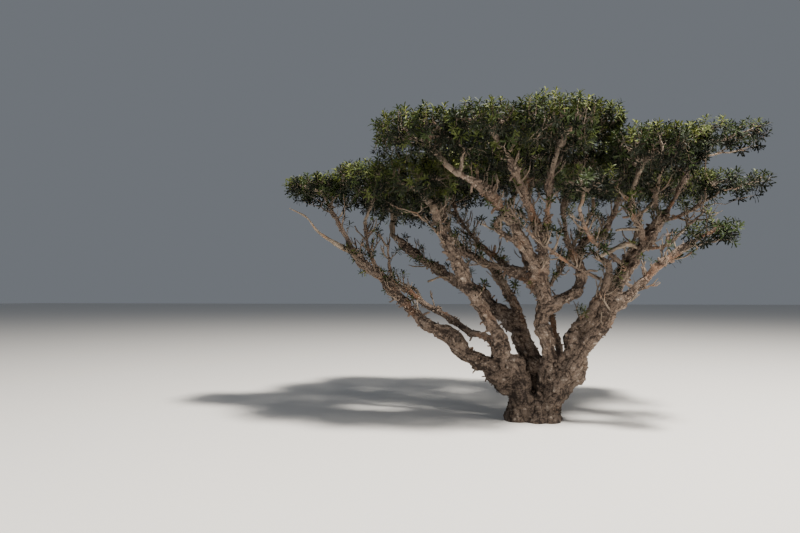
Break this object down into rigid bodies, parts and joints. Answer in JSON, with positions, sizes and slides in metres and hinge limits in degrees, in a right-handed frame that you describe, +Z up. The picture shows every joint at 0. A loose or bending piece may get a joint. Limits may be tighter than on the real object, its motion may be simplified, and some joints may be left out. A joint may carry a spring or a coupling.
{
  "type": "frankincense tree",
  "caption": "Old, spreading frankincense tree with a short fluted trunk, leaning crooked stems from near the ground, and a wide, flat, leafy crown.",
  "frame": {"origin": "middle of the flat cut under the trunk, at ground level", "axes": "+Z up, +X to the right of the tree from its front, +Y from its front to its back"},
  "size_m": [6.3526, 4.1534, 4.0417],
  "materials": {
    "bark": "rough grey-brown bark with knobs, furrows, papery flakes and tan or reddish patches",
    "dead_bark": "dry, bleached tan wood without bark",
    "leaves": "matt, crinkled grey-green and olive leaves in tufts at the twig ends"
  },
  "bodies": {
    "root": {"trunk": "bark", "west_stem": "bark", "left_stem": "bark", "back_left_stem": "bark", "centre_stem": "bark", "right_stem": "bark", "outer_stem": "bark", "thin_stem": "bark", "west_upper": "bark", "west_high": "bark", "west_dead": "dead_bark", "rear_bough": "bark", "left_inner": "bark", "back_left_bough": "bark", "upper_bough": "bark", "front_top_bough": "bark", "heart_bough": "bark", "east_bough": "bark", "top_bough": "bark", "back_bough": "bark", "back_east_bough": "bark", "front_bough": "bark", "shoulder_bough": "bark", "right_bough": "bark", "right_top_bough": "bark", "right_mid_bough": "bark", "right_low_bough": "bark", "upright_spur": "bark", "hooked_spur": "bark", "cut_stub": "dead_bark", "pale_stub": "dead_bark", "dead_stub": "dead_bark", "dead_spur": "dead_bark", "cross_bough": "bark", "slender_bough": "bark", "side_bough": "bark", "knee_stem": "bark", "west_tip_leaves": "leaves", "west_leaves": "leaves", "far_left_leaves": "leaves", "left_leaves": "leaves", "inner_leaves": "leaves", "back_left_leaves": "leaves", "upper_left_leaves": "leaves", "upper_leaves": "leaves", "front_leaves": "leaves", "heart_leaves": "leaves", "top_leaves": "leaves", "back_leaves": "leaves", "middle_leaves": "leaves", "far_leaves": "leaves", "far_right_leaves": "leaves", "low_front_leaves": "leaves", "shoulder_leaves": "leaves", "right_leaves": "leaves", "right_top_leaves": "leaves", "right_mid_leaves": "leaves", "right_low_leaves": "leaves"}
  },
  "joints": []
}
